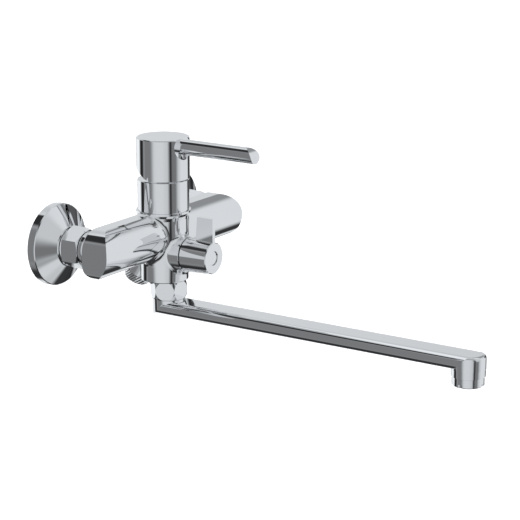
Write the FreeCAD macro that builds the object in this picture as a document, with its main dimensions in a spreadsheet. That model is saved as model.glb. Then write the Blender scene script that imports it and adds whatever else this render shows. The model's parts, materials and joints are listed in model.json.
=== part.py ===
import FreeCAD, Part
import Sketcher
import math
import os
import re

from FreeCAD import Rotation, Vector

# Wall mounted bath faucet, millimetres.
# The wall is the plane Y = 0, the faucet stands out towards -Y, +Z is up, +X is to the right
# as seen by the user.  The origin is on the wall, midway between the two water inlets.
# "out" in a name is a distance from the wall, "rise" and "drop" are heights above and below
# the inlets.

doc = FreeCAD.newDocument("bath_faucet")
sheet = doc.addObject("Spreadsheet::Sheet", "sheet")

SIZES = [
    # general fits
    ("running_gap", 0.06, "radial clearance of parts that turn or slide"),
    ("fixed_gap", 0.03, "radial clearance of parts that are screwed or pushed in"),
    ("seam", 0.4, "open seam between visible parts that move past each other"),
    ("edge", 0.6, "small rounding of polished edges"),
    ("way_step", 1.0, "how much narrower a water way is behind a seal"),
    ("seal_inset", 0.2, "how far flat seals stay clear of the wall round them"),
    ("thread_chamfer", 1.0, "chamfer at the start of a thread"),
    ("cut_margin", 1.0, "how far a cutting tool reaches past the face that it cuts"),
    # wall side
    ("inlet_reach", 75.0, "half the distance between the two inlets"),
    ("wall_thread", 10.4, "radius of the G1/2 thread that goes into the wall"),
    ("wall_thread_depth", 14.0, "length of that thread behind the wall plane"),
    ("wall_thread_run", 3.0, "how far that thread runs on in front of the wall plane"),
    ("thread_relief", 0.6, "depth of the plain neck beside that thread"),
    ("union_drop", 5.0, "how far the wall end of the eccentric union is off its faucet end"),
    ("union_flange_out", 8.0, "where the eccentric union changes from one axis to the other"),
    ("union_bore", 6.5, "water way through the eccentric union"),
    ("union_thread", 13.0, "radius of the G3/4 thread under the union nut"),
    ("union_out", 27.0, "end face of the eccentric union"),
    ("union_web", 2.0, "web that joins the two ends of the eccentric union"),
    ("flange_radius", 31.5, "outer radius of the wall flange"),
    ("flange_rim", 7.2, "depth of the wall flange's cylindrical rim"),
    ("flange_out", 16.9, "front end of the wall flange's cone"),
    ("flange_mouth", 15.6, "outer radius at the front end of the cone"),
    ("flange_wall", 1.3, "sheet thickness of the wall flange"),
    # inlet fittings
    ("washer_height", 2.2, "thickness of the filter washer"),
    ("tail_flange", 2.0, "thickness of the tail piece's collar"),
    ("tail_radius", 9.8, "outer radius of the tail piece"),
    ("tail_bore", 6.5, "bore of the tail piece"),
    ("tail_depth", 8.0, "how far the tail piece goes into the body"),
    ("nut_flats", 29.0, "width across flats of the union nut"),
    ("nut_start_out", 18.9, "wall side face of the union nut"),
    ("nut_lip", 2.6, "thickness of the union nut's lip"),
    ("nut_gap", 0.5, "gap between the union nut and the body's neck"),
    ("nut_play", 0.5, "clearance of washer and tail collar inside the union nut"),
    ("nut_bevel", 1.4, "height of the bevel over the union nut's corners"),
    ("neck_radius", 13.6, "radius of the body's inlet necks"),
    ("neck_groove_inset", 2.6, "start of the groove round the neck"),
    ("neck_groove_width", 1.4, "width of that groove"),
    ("neck_groove_depth", 1.0, "depth of that groove"),
    # bar of the body
    ("bar_back_out", 39.5, "flat back of the bar"),
    ("bar_axis_out", 43.7, "axis of the bar's curved front"),
    ("bar_curve", 19.3, "radius of the bar's curved front"),
    ("bar_half_height", 17.9, "half the height of the bar and radius of its upper corners"),
    ("bar_foot_round", 6.0, "radius of the bar's lower corners"),
    ("bar_under_round", 11.0, "rounding of the bar's lower rear edge"),
    ("bar_drop", 1.2, "how far the bar's middle is below the inlets"),
    ("bar_end_centre", 72.4, "centre of the bar's upper corners"),
    # tower for the cartridge
    ("column_out", 49.9, "vertical axis of tower, sleeve and cap"),
    ("tower_radius", 19.0, "radius of the tower and of the neck inside the sleeve"),
    ("tower_drop", 37.0, "bottom of the tower"),
    ("collar_step", 2.4, "how far the shoulder under the trim sleeve stands out from the tower"),
    ("collar_height", 1.6, "height of the straight part of the shoulder"),
    ("sleeve_rise", 18.8, "seat of the trim sleeve"),
    ("sleeve_top", 43.4, "top of the trim sleeve"),
    ("sleeve_wall", 1.15, "wall of the trim sleeve"),
    ("sleeve_lip", 0.8, "thickness of the trim sleeve's inner lip"),
    ("seat_rise", 12.0, "floor of the cartridge bore"),
    ("neck_wall", 1.5, "wall of the tower round the cartridge"),
    ("clamp_nut_height", 5.2, "height of the nut that clamps the cartridge"),
    ("clamp_nut_wall", 3.7, "width of that nut's ring"),
    ("clamp_sink", 0.2, "how far that nut lies below the neck's top"),
    ("clamp_slot_width", 3.0, "width of the spanner slot across that nut"),
    ("clamp_slot_depth", 1.2, "depth of that slot"),
    # inside the cartridge
    ("gasket_height", 1.0, "thickness of the base gasket"),
    ("base_height", 5.0, "height of the cartridge base"),
    ("disc_height", 3.5, "thickness of each ceramic disc"),
    ("disc_film", 0.02, "film between the two ceramic discs"),
    ("disc_room", 1.7, "room round the fixed ceramic disc"),
    ("slide_room", 2.7, "room that the moving disc slides in"),
    ("disc_offset", 2.4, "how far the moving disc rests behind the column axis"),
    ("disc_pocket_radius", 5.0, "radius of the mixing pocket under the moving disc"),
    ("disc_pocket_depth", 2.3, "depth of that pocket"),
    ("carrier_height", 5.0, "height of the disc carrier"),
    ("carrier_floor", 1.0, "floor of the carrier under the stem's foot"),
    ("housing_wall", 1.8, "wall of the cartridge housing"),
    ("housing_neck_wall", 1.9, "wall of the housing round the rotor's neck"),
    ("rotor_flange_step", 1.5, "how far the rotor's flange stands out from its neck"),
    ("rotor_flange_height", 1.7, "height of the rotor's flange"),
    ("stem_size", 6.2, "side of the square stem"),
    ("stem_play", 0.3, "clearance beside the stem in its slots"),
    ("slot_front", 5.5, "how far the rotor's slot runs in front of the stem"),
    ("slot_back", 2.5, "how far it runs behind the stem"),
    ("foot_radius", 2.7, "radius of the round foot of the stem"),
    ("shin_step", 0.7, "how much thinner the stem's shin is than its foot"),
    ("pivot_rise", 39.0, "axis that the stem tilts about"),
    ("pivot_radius", 1.5, "radius of the pivot pin"),
    ("pin_inset", 1.0, "how far the pin's ends lie inside the rotor"),
    ("port_radius", 3.0, "radius of the water ports in base and disc"),
    ("port_land", 1.5, "land between the inlet ports and the rim of the fixed disc"),
    ("outlet_reach", 4.5, "distance of the outlet port behind the column axis"),
    # handle
    ("cap_step", 0.55, "how far the handle cap stands out from the trim sleeve"),
    ("cap_top", 76.2, "top of the handle cap"),
    ("cap_wall", 2.0, "wall of the handle cap's skirt"),
    ("cap_roof", 4.0, "thickness of the handle cap's roof"),
    ("cap_boss", 8.5, "radius of the socket boss inside the cap"),
    ("cap_boss_rise", 55.0, "lower end of the socket boss"),
    ("cap_cut_angle", 27.0, "slope of the skirt's rear edge, so that it can tilt"),
    ("cap_cut_lead", 1.0, "how far in front of the column axis that slope starts"),
    ("lever_radius", 6.1, "radius of the lever rod"),
    ("lever_rise", 70.1, "axis of the lever rod"),
    ("lever_out", 136.0, "tip of the lever rod"),
    ("lever_tip_round", 9.5, "radius that the lever's top is rounded down to its end with"),
    ("spot_radius", 10.1, "radius of the spot face round the lever"),
    ("spot_depth", 2.6, "depth of the spot face in the handle cap"),
    ("lever_socket", 9.0, "depth of the lever's socket in the cap"),
    ("lever_step", 1.5, "how much thinner the lever's shank is than the lever"),
    ("grub_radius", 2.5, "radius of the grub screw"),
    ("grub_length", 10.0, "length of the grub screw"),
    ("grub_rise", 4.0, "height of the grub screw above the boss's lower end"),
    ("grub_key", 2.5, "width across flats of its socket"),
    ("grub_key_depth", 2.0, "depth of that socket"),
    ("stem_top", 66.0, "top of the stem"),
    # diverter
    ("diverter_drop", 14.6, "axis of the diverter below the inlets"),
    ("diverter_boss", 14.2, "radius of the body's diverter boss"),
    ("diverter_face_out", 73.0, "front face of the diverter boss"),
    ("diverter_bore", 9.0, "radius of the headwork's bore in the body"),
    ("diverter_seat_out", 53.0, "seat of the diverter seal"),
    ("chamber_radius", 7.0, "radius of the diverter chamber"),
    ("chamber_out", 38.0, "rear end of the diverter chamber"),
    ("diverter_seal_height", 1.6, "thickness of the diverter's seat seal"),
    ("diverter_port", 3.0, "radius of the hole in that seal"),
    ("diverter_disc_radius", 7.2, "radius of the diverter's ceramic discs"),
    ("diverter_disc_height", 2.6, "thickness of each of them"),
    ("diverter_window", 2.0, "radius of the window in each disc"),
    ("diverter_window_reach", 3.6, "distance of the windows from the diverter's axis"),
    ("spindle_flange", 2.0, "thickness of the spindle's flange"),
    ("spindle_inset", 0.4, "clearance round the spindle's flange"),
    ("spindle_radius", 4.0, "radius of the diverter spindle"),
    ("spindle_ring", 1.0, "thickness of the O-ring on the spindle"),
    ("spindle_ring_width", 1.6, "width of that O-ring"),
    ("spindle_ring_inset", 5.0, "start of its groove behind the boss's face"),
    ("headwork_flange", 11.2, "radius of the headwork's flange"),
    ("headwork_flange_height", 3.2, "thickness of that flange"),
    ("knob_back_radius", 13.6, "radius of the knob at its rear edge"),
    ("knob_front_radius", 12.4, "radius of the knob at its face"),
    ("knob_out", 97.3, "front face of the knob"),
    ("knob_cavity", 12.0, "radius of the hollow behind the knob"),
    ("knob_socket", 18.0, "depth of the spindle's socket in the knob"),
    ("knob_disc_radius", 5.6, "radius of the cap in the knob's face"),
    ("knob_disc_depth", 3.0, "depth of the recess for that cap"),
    ("knob_disc_height", 1.2, "thickness of that cap"),
    ("knob_disc_sink", 0.9, "how far that cap lies below the knob's face"),
    ("knob_disc_gap", 0.3, "clearance round that cap"),
    ("knob_disc_bevel", 0.2, "bevel at that cap's edge"),
    ("knob_floor", 4.0, "material between the recess and the spindle's end"),
    ("knob_clearance", 1.4, "room in front of the headwork's flange inside the knob"),
    ("screw_radius", 1.55, "radius of the knob's screw"),
    ("screw_length", 9.5, "length of its shank"),
    ("screw_way", 2.1, "radius of the screw's hole in the knob"),
    ("screw_head_radius", 3.5, "radius of the screw's head"),
    ("screw_head_height", 0.8, "height of that head"),
    ("flag_thickness", 3.4, "thickness of the knob's flag"),
    ("flag_rise", 16.7, "top of the knob's flag"),
    ("flag_depth", 14.4, "length of the flag along the knob's axis"),
    ("flag_slope", 2.4, "how much longer the flag is at its foot"),
    # spout connection
    ("spout_axis_out", 53.9, "vertical axis that the spout turns about"),
    ("spout_thread", 12.0, "radius of the thread under the spout nut"),
    ("spout_thread_length", 8.0, "length of that thread below the boss"),
    ("spout_bore", 9.1, "bore of the body for the spout's riser"),
    ("spout_bore_drop", 27.0, "upper end of that bore"),
    ("riser_drop", 28.0, "upper end of the spout's riser"),
    ("riser_bore", 6.4, "water way of the riser"),
    ("spout_nut_ball", 15.0, "radius of the spout nut's rounded outside"),
    ("spout_nut_flats", 26.0, "width across flats of the spout nut"),
    ("spout_nut_height", 14.3, "height of the spout nut"),
    ("spout_nut_turn", 7.5, "how far the nut's first flat is turned from the front"),
    ("spout_nut_lip", 3.0, "thickness of the spout nut's lip"),
    ("nut_seam", 0.3, "open seam above and below the spout nut"),
    ("split_ring_height", 1.6, "height of the split ring"),
    ("split_ring_radius", 11.4, "outer radius of the split ring"),
    ("split_ring_depth", 1.2, "depth of the split ring's groove in the riser"),
    ("split_ring_slit", 2.0, "width of the split ring's slit"),
    ("slip_washer_height", 1.0, "height of the slip washer"),
    ("seal_radius", 1.0, "half the thickness of the riser's O-rings"),
    ("seal_upper_drop", 31.0, "upper O-ring"),
    ("seal_lower_drop", 35.0, "lower O-ring"),
    # spout
    ("spout_top_drop", 53.1, "flat top of the spout"),
    ("spout_height", 10.7, "height of the spout"),
    ("spout_half_width", 12.9, "half the width of the spout and radius of its ends"),
    ("spout_length", 265.7, "distance from the swivel axis to the aerator axis"),
    ("spout_wall", 1.5, "wall of the spout"),
    ("spout_tip_round", 3.0, "rounding of the spout's top edge round its tip"),
    ("root_depth", 2.0, "how far riser and collar run into the spout's bar"),
    ("collar_drop", 69.4, "bottom of the collar at the spout's tip"),
    ("collar_tip_radius", 12.6, "radius of that collar"),
    # aerator
    ("aerator_radius", 11.85, "outer radius of the aerator housing"),
    ("aerator_height", 7.0, "height of the aerator housing that shows"),
    ("aerator_thread", 10.9, "radius of the aerator's thread inside the collar"),
    ("aerator_thread_height", 5.0, "length of that thread"),
    ("aerator_bore", 9.4, "bore of the aerator housing"),
    ("aerator_lip", 8.4, "radius of the opening at its lower end"),
    ("aerator_lip_height", 1.5, "thickness of the lip round that opening"),
    ("notch_width", 3.4, "width of the spanner notches"),
    ("notch_height", 2.5, "height of the spanner notches"),
    ("notch_depth", 1.2, "depth of the spanner notches"),
    ("aerator_seal_height", 1.5, "thickness of the aerator's seal"),
    ("insert_height", 6.0, "height of the aerator insert"),
    ("insert_gap", 0.3, "clearance round insert and mesh"),
    ("insert_hole", 0.7, "radius of the insert's holes"),
    ("insert_pitch", 3.1, "distance between the rings of holes"),
    ("mesh_height", 0.8, "thickness of the mesh screen"),
    # shower outlet
    ("shower_out", 22.2, "centre of the shower outlet's end face"),
    ("shower_drop", 40.6, "height of that centre below the inlets"),
    ("shower_tilt", 30.0, "tilt of the outlet from vertical, towards the wall"),
    ("shower_boss", 11.6, "radius of the body's shower boss"),
    ("shower_boss_length", 26.0, "length of that boss"),
    ("shower_thread", 10.4, "radius of the G1/2 thread for the hose"),
    ("shower_thread_length", 8.0, "length of that thread"),
    ("shower_seal_height", 1.0, "thickness of the seal behind that thread"),
    ("shower_socket", 8.6, "radius of the nipple's inner thread"),
    ("shower_socket_length", 9.0, "length of the nipple's inner thread"),
    ("shower_bore", 6.6, "bore of the nipple"),
    ("valve_length", 12.0, "length of the check valve"),
    ("valve_inset", 2.0, "how far the check valve lies inside the nipple's mouth"),
    ("valve_hole", 2.5, "radius of the check valve's hole and poppet"),
    ("poppet_inset", 4.0, "how far the poppet lies inside the check valve"),
    ("poppet_height", 2.0, "height of the poppet"),
    # water ways of the body
    ("inlet_bore", 5.6, "radius of the inlet water ways"),
    ("inlet_bore_out", 55.0, "depth of the inlet water ways"),
    ("duct_radius", 4.2, "radius of the cross ducts"),
    ("duct_rise", 2.5, "height of the cross ducts"),
    # roundings of the casting
    ("tower_fillet", 6.0, "rounding between tower and bar"),
    ("boss_fillet", 4.0, "rounding between diverter boss and tower"),
]

# sizes that follow from the ones above, so that what fits together stays together
FITS = [
    ("cartridge_radius", "tower_radius - neck_wall", "outer radius of the cartridge"),
    ("housing_cavity", "cartridge_radius - housing_wall", "inner radius of its housing"),
    ("clamp_nut_bore", "cartridge_radius - clamp_nut_wall", "hole in the clamping nut"),
    ("rotor_radius", "clamp_nut_bore - housing_neck_wall", "radius of the rotor's neck"),
    ("rotor_flange", "rotor_radius + rotor_flange_step", "radius of the rotor's flange"),
    ("fixed_disc_radius", "housing_cavity - disc_room", "radius of the fixed ceramic disc"),
    ("moving_disc_radius", "housing_cavity - disc_offset - slide_room", "radius of the moving disc"),
    ("port_reach", "fixed_disc_radius - port_land - port_radius", "inlet ports from the axis"),
    ("collar_radius", "tower_radius + collar_step", "radius of the shoulder"),
    ("sleeve_radius", "tower_radius + sleeve_wall", "outer radius of the trim sleeve"),
    ("cap_radius", "sleeve_radius + cap_step", "outer radius of the handle cap"),
    ("spot_out", "column_out + cap_radius - spot_depth", "plane of the spot face"),
]

entries = [(alias, str(number), note) for alias, number, note in SIZES]
entries += [(alias, "=" + text, note) for alias, text, note in FITS]
for row, (alias, text, note) in enumerate(entries, start=1):
    sheet.set("A%d" % row, note)
    sheet.set("B%d" % row, text)
    sheet.setAlias("B%d" % row, alias)
    doc.recompute()

ALIASES = {alias for alias, text, note in entries}
UP = Rotation(Vector(0, 0, 1), 0)          # local Z stays vertical
OUT = Rotation(Vector(1, 0, 0), 90)        # local Z points away from the wall
BACK = Rotation(Vector(1, 0, 0), -90)      # local Z points to the wall
RIGHT = Rotation(Vector(0, 1, 0), 90)      # local Z points along +X
nodes = []
BIG = 80.0                                 # side of the blocks that cut along a slope


def bind(thing, prop, text):
    """Tie a property to a formula written with the names of the sheet."""
    formula = re.sub(
        r"[a-z_]+",
        lambda word: "sheet." + word.group() if word.group() in ALIASES else word.group(),
        str(text),
    )
    thing.setExpression(prop, formula)


def place(thing, at, way):
    """Put a local Z axis at a point, pointing one way."""
    thing.Placement = FreeCAD.Placement(Vector(0, 0, 0), way)
    for letter, text in zip("xyz", at):
        bind(thing, "Placement.Base." + letter, text)


def rod(name, radius, length, at, way=UP):
    cylinder = doc.addObject("Part::Cylinder", name)
    bind(cylinder, "Radius", radius)
    bind(cylinder, "Height", length)
    place(cylinder, at, way)
    return cylinder


def block(name, sides, at, way=UP):
    """A box with one corner at a point."""
    box = doc.addObject("Part::Box", name)
    for prop, text in zip(("Length", "Width", "Height"), sides):
        bind(box, prop, text)
    place(box, at, way)
    return box


def hexagon(name, flats, length, at, way):
    """A six sided bar given by its width across flats."""
    prism = doc.addObject("Part::Prism", name)
    prism.Polygon = 6
    bind(prism, "Circumradius", "(%s) / 2 / cos(30)" % flats)
    bind(prism, "Height", length)
    place(prism, at, way)
    return prism


def ball(name, radius, at):
    sphere = doc.addObject("Part::Sphere", name)
    bind(sphere, "Radius", radius)
    place(sphere, at, UP)
    return sphere


def join(name, pieces):
    fused = doc.addObject("Part::MultiFuse", name)
    fused.Shapes = pieces
    fused.Refine = True
    return fused


def overlap(name, pieces):
    both = doc.addObject("Part::MultiCommon", name)
    both.Shapes = pieces
    return both


def remove(name, base, tools):
    """Cut several tools out of one base."""
    tool = tools[0] if len(tools) == 1 else join(name + "_tools", tools)
    rest = doc.addObject("Part::Cut", name)
    rest.Base = base
    rest.Tool = tool
    rest.Refine = True
    return rest


def rounded(name, base, radius, wanted):
    """Round the edges for which wanted(edge) is true."""
    doc.recompute()
    fillet = doc.addObject("Part::Fillet", name)
    fillet.Base = base
    size = sheet.get(radius)
    picked = [i for i, edge in enumerate(base.Shape.Edges, start=1) if wanted(edge)]
    fillet.Edges = [(i, size, size) for i in picked]
    return fillet


def turned(name, outline, at, way=UP):
    """A lathe piece: a closed outline of (radius, height) turned about its own Z axis."""
    body = doc.addObject("PartDesign::Body", name)
    plane = [o for o in body.Origin.OriginFeatures if o.Role == "XZ_Plane"][0]
    sketch = body.newObject("Sketcher::SketchObject", name + "_outline")
    sketch.AttachmentSupport = (plane, "")
    sketch.MapMode = "FlatFace"
    count = len(outline)
    starts = [
        Vector(20 + 10 * math.cos(2 * math.pi * i / count), 10 * math.sin(2 * math.pi * i / count), 0)
        for i in range(count)
    ]
    for i in range(count):
        sketch.addGeometry(Part.LineSegment(starts[i], starts[(i + 1) % count]), False)
    for i in range(count):
        sketch.addConstraint(Sketcher.Constraint("Coincident", i, 2, (i + 1) % count, 1))
    for i, (radius, height) in enumerate(outline):
        across = sketch.addConstraint(Sketcher.Constraint("DistanceX", -1, 1, i, 1, starts[i].x))
        bind(sketch, "Constraints[%d]" % across, radius)
        along = sketch.addConstraint(Sketcher.Constraint("DistanceY", -1, 1, i, 1, starts[i].y))
        bind(sketch, "Constraints[%d]" % along, height)
    spin = body.newObject("PartDesign::Revolution", name + "_turn")
    spin.Profile = sketch
    spin.ReferenceAxis = (sketch, ["V_Axis"])
    spin.Angle = 360
    sketch.Visibility = False
    place(body, at, way)
    return body


def lean(thing, degrees, corner, y, z):
    """Tilt a big block about X, with one of its edges, given as (width, height), along X at y and z."""
    turn = Rotation(Vector(1, 0, 0), degrees)
    moved = turn.multVec(Vector(0, corner[0], corner[1]))
    thing.Placement = FreeCAD.Placement(Vector(-BIG / 2, 0, 0), turn)
    bind(thing, "Placement.Base.x", -BIG / 2)
    bind(thing, "Placement.Base.y", "%s + (%.6f)" % (y, moved.y))
    bind(thing, "Placement.Base.z", "%s + (%.6f)" % (z, moved.z))


def keep(thing, label):
    """Name a finished piece, so that it is written to its own file."""
    thing.Label = label
    nodes.append(thing)
    return thing


# ---------------------------------------------------------------- valve body

BAR_DEPTH = "bar_axis_out + bar_curve - bar_back_out"
BAR_END = "bar_end_centre + bar_half_height"
NUT_END_OUT = "union_out + washer_height + tail_flange + nut_lip"
NECK_OUT = NUT_END_OUT + " + nut_gap"
NECK_TOP = "sleeve_top - sleeve_lip - fixed_gap"
TILTED = Rotation(Vector(1, 0, 0), sheet.get("shower_tilt"))


def along_shower(distance):
    """A point on the shower outlet's axis, measured inwards from its end face."""
    return (
        "0",
        "-shower_out - (%s) * sin(shower_tilt)" % distance,
        "-shower_drop + (%s) * cos(shower_tilt)" % distance,
    )


def make_bar():
    """Bar with round upper corners, small lower corners, a curved front and a round underside."""
    foot = "-bar_drop - bar_half_height"
    front_face = "-bar_axis_out - bar_curve"
    pieces = [
        block(
            "bar_middle",
            ("2 * bar_end_centre", BAR_DEPTH, "2 * bar_half_height"),
            ("-bar_end_centre", front_face, foot),
        ),
        block(
            "bar_waist",
            ("2 * (%s)" % BAR_END, BAR_DEPTH, "bar_half_height - bar_foot_round"),
            ("-(%s)" % BAR_END, front_face, foot + " + bar_foot_round"),
        ),
        block(
            "bar_foot",
            ("2 * (%s - bar_foot_round)" % BAR_END, BAR_DEPTH, "bar_half_height"),
            ("-(%s - bar_foot_round)" % BAR_END, front_face, foot),
        ),
    ]
    for side, sign in (("left", "-"), ("right", "")):
        upper = (sign + "bar_end_centre", "-bar_back_out", "-bar_drop")
        lower = (
            "%s(%s - bar_foot_round)" % (sign, BAR_END),
            "-bar_back_out",
            foot + " + bar_foot_round",
        )
        pieces.append(rod("bar_upper_" + side, "bar_half_height", BAR_DEPTH, upper, OUT))
        pieces.append(rod("bar_lower_" + side, "bar_foot_round", BAR_DEPTH, lower, OUT))
    outline = join("bar_outline", pieces)
    front = rod(
        "bar_front",
        "bar_curve",
        "2 * (%s)" % BAR_END,
        ("-(%s)" % BAR_END, "-bar_axis_out", "-bar_drop"),
        RIGHT,
    )
    # what lies behind the lower rear edge's rounding
    corner = block(
        "bar_rear_corner",
        ("2 * (%s) + 2 * cut_margin" % BAR_END, "bar_under_round + cut_margin", "bar_under_round + cut_margin"),
        (
            "-(%s) - cut_margin" % BAR_END,
            "-bar_back_out - bar_under_round",
            foot + " - cut_margin",
        ),
    )
    curve = rod(
        "bar_rear_curve",
        "bar_under_round",
        "2 * (%s) + 4 * cut_margin" % BAR_END,
        (
            "-(%s) - 2 * cut_margin" % BAR_END,
            "-bar_back_out - bar_under_round",
            foot + " + bar_under_round",
        ),
        RIGHT,
    )
    waste = remove("bar_rear_waste", corner, [curve])
    return remove("bar", overlap("bar_bulk", [outline, front]), [waste])


def make_tower():
    """Round tower, and the threaded neck that goes up from it into the trim sleeve."""
    return turned(
        "tower",
        [
            ("0", "-tower_drop"),
            ("tower_radius - edge", "-tower_drop"),
            ("tower_radius", "-tower_drop + edge"),
            ("tower_radius", NECK_TOP),
            ("0", NECK_TOP),
        ],
        ("0", "-column_out", "0"),
        Rotation(Vector(0, 0, 1), 90),
    )


def make_shoulder():
    """Ring under the trim sleeve, hollowed so that it flows into the tower."""
    return turned(
        "shoulder",
        [
            ("0", "sleeve_rise - collar_height - 2 * (collar_radius - tower_radius)"),
            ("tower_radius", "sleeve_rise - collar_height - 2 * (collar_radius - tower_radius)"),
            (
                "0.7 * tower_radius + 0.3 * collar_radius",
                "sleeve_rise - collar_height - 0.9 * (collar_radius - tower_radius)",
            ),
            ("collar_radius", "sleeve_rise - collar_height"),
            ("collar_radius", "sleeve_rise"),
            ("0", "sleeve_rise"),
        ],
        ("0", "-column_out", "0"),
    )


def distance_from(axis_y, point):
    return math.hypot(point.x, point.y - axis_y)


def edge_points(edge):
    first, last = edge.ParameterRange
    return [edge.valueAt(first + (last - first) * part / 6.0) for part in range(7)]


def on_tower(edge):
    """True for curved edges that lie on the tower's wall within the bar's height."""
    points = edge_points(edge)
    radius = sheet.get("tower_radius")
    axis_y = -sheet.get("column_out")
    low = -sheet.get("bar_drop") - sheet.get("bar_half_height") - 0.2
    high = -sheet.get("bar_drop") + sheet.get("bar_half_height") + 0.2
    straight = isinstance(edge.Curve, Part.Line)
    return not straight and all(
        abs(distance_from(axis_y, p) - radius) < 0.05 and low < p.z < high for p in points
    )


def on_diverter_boss(edge):
    """True for the curve where the diverter boss meets the tower."""
    radius = sheet.get("diverter_boss")
    drop = sheet.get("diverter_drop")
    face_y = -sheet.get("diverter_face_out")
    straight = isinstance(edge.Curve, Part.Line)
    return not straight and all(
        abs(math.hypot(p.x, p.z + drop) - radius) < 0.05 and p.y > face_y + 0.5
        for p in edge_points(edge)
    )


def make_casting():
    """Outside of the cast body, before its bores are cut."""
    core = join("core", [make_bar(), make_tower()])
    core = rounded("core_rounded", core, "tower_fillet", on_tower)
    diverter_boss = rod(
        "diverter_boss_rod",
        "diverter_boss",
        "diverter_face_out - column_out",
        ("0", "-column_out", "-diverter_drop"),
        OUT,
    )
    core = join("core_with_boss", [core, diverter_boss])
    core = rounded("core_blended", core, "boss_fillet", on_diverter_boss)
    spout_thread = rod(
        "spout_thread_rod",
        "spout_thread",
        "spout_thread_length + tower_drop - diverter_drop",
        ("0", "-spout_axis_out", "-tower_drop - spout_thread_length"),
    )
    shower_boss = rod(
        "shower_boss_rod",
        "shower_boss",
        "shower_boss_length",
        along_shower("shower_thread_length"),
        TILTED,
    )
    necks = [
        rod(
            "neck_" + side,
            "neck_radius",
            "bar_axis_out - (%s)" % NECK_OUT,
            (sign + "inlet_reach", "-(%s)" % NECK_OUT, "0"),
            OUT,
        )
        for side, sign in (("left", "-"), ("right", ""))
    ]
    return join("casting", [core, make_shoulder(), spout_thread, shower_boss] + necks)


def make_body():
    """Cast body with its bores and water ways."""
    tools = [
        rod(
            "cartridge_bore",
            "cartridge_radius + running_gap",
            "%s - seat_rise + cut_margin" % NECK_TOP,
            ("0", "-column_out", "seat_rise"),
        ),
        rod(
            "outlet_port",
            "port_radius",
            "seat_rise + diverter_drop",
            ("0", "-column_out + outlet_reach", "-diverter_drop"),
        ),
        rod(
            "headwork_bore",
            "diverter_bore",
            "diverter_face_out - diverter_seat_out + cut_margin",
            ("0", "-diverter_seat_out", "-diverter_drop"),
            OUT,
        ),
        rod(
            "chamber",
            "chamber_radius",
            "diverter_seat_out - chamber_out",
            ("0", "-chamber_out", "-diverter_drop"),
            OUT,
        ),
        rod(
            "riser_bore_hole",
            "spout_bore",
            "tower_drop + spout_thread_length - spout_bore_drop + cut_margin",
            ("0", "-spout_axis_out", "-tower_drop - spout_thread_length - cut_margin"),
        ),
        rod(
            "spout_way",
            "riser_bore - way_step",
            "spout_bore_drop - diverter_drop + cut_margin",
            ("0", "-spout_axis_out", "-spout_bore_drop - cut_margin"),
        ),
        rod(
            "shower_thread_bore",
            "shower_socket + fixed_gap",
            "shower_socket_length + shower_seal_height",
            along_shower("shower_thread_length - shower_seal_height"),
            TILTED,
        ),
        rod(
            "shower_way",
            "shower_bore - 2 * way_step",
            "shower_boss_length - shower_socket_length",
            along_shower("shower_thread_length + shower_socket_length - shower_seal_height"),
            TILTED,
        ),
    ]
    # keeps everything but the neck itself out of the trim sleeve
    tools.append(
        turned(
            "sleeve_room",
            [
                ("tower_radius", "sleeve_rise"),
                ("2 * collar_radius", "sleeve_rise"),
                ("2 * collar_radius", "sleeve_top"),
                ("tower_radius", "sleeve_top"),
            ],
            ("0", "-column_out", "0"),
        )
    )
    for side, sign in (("left", "-"), ("right", "")):
        tools.append(
            rod(
                "tail_bore_" + side,
                "tail_radius + fixed_gap",
                "tail_depth + cut_margin",
                (sign + "inlet_reach", "-(%s) + cut_margin" % NECK_OUT, "0"),
                OUT,
            )
        )
        tools.append(
            rod(
                "inlet_way_" + side,
                "inlet_bore",
                "inlet_bore_out - (%s)" % NECK_OUT,
                (sign + "inlet_reach", "-(%s)" % NECK_OUT, "0"),
                OUT,
            )
        )
        start = "-inlet_reach" if side == "left" else "port_reach"
        tools.append(
            rod(
                "cross_duct_" + side,
                "duct_radius",
                "inlet_reach - port_reach",
                (start, "-column_out", "duct_rise"),
                RIGHT,
            )
        )
        tools.append(
            rod(
                "inlet_port_" + side,
                "port_radius",
                "seat_rise - duct_rise",
                (sign + "port_reach", "-column_out", "duct_rise"),
            )
        )
        groove = turned(
            "neck_groove_" + side,
            [
                ("neck_radius - neck_groove_depth", "0"),
                ("neck_radius + cut_margin", "0"),
                ("neck_radius + cut_margin", "neck_groove_width"),
                ("neck_radius - neck_groove_depth", "neck_groove_width"),
            ],
            (sign + "inlet_reach", "-(%s) - neck_groove_inset" % NECK_OUT, "0"),
            OUT,
        )
        tools.append(groove)
    keep(remove("body_cut", make_casting(), tools), "valve_body")


# ---------------------------------------------------------------- wall side

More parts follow.
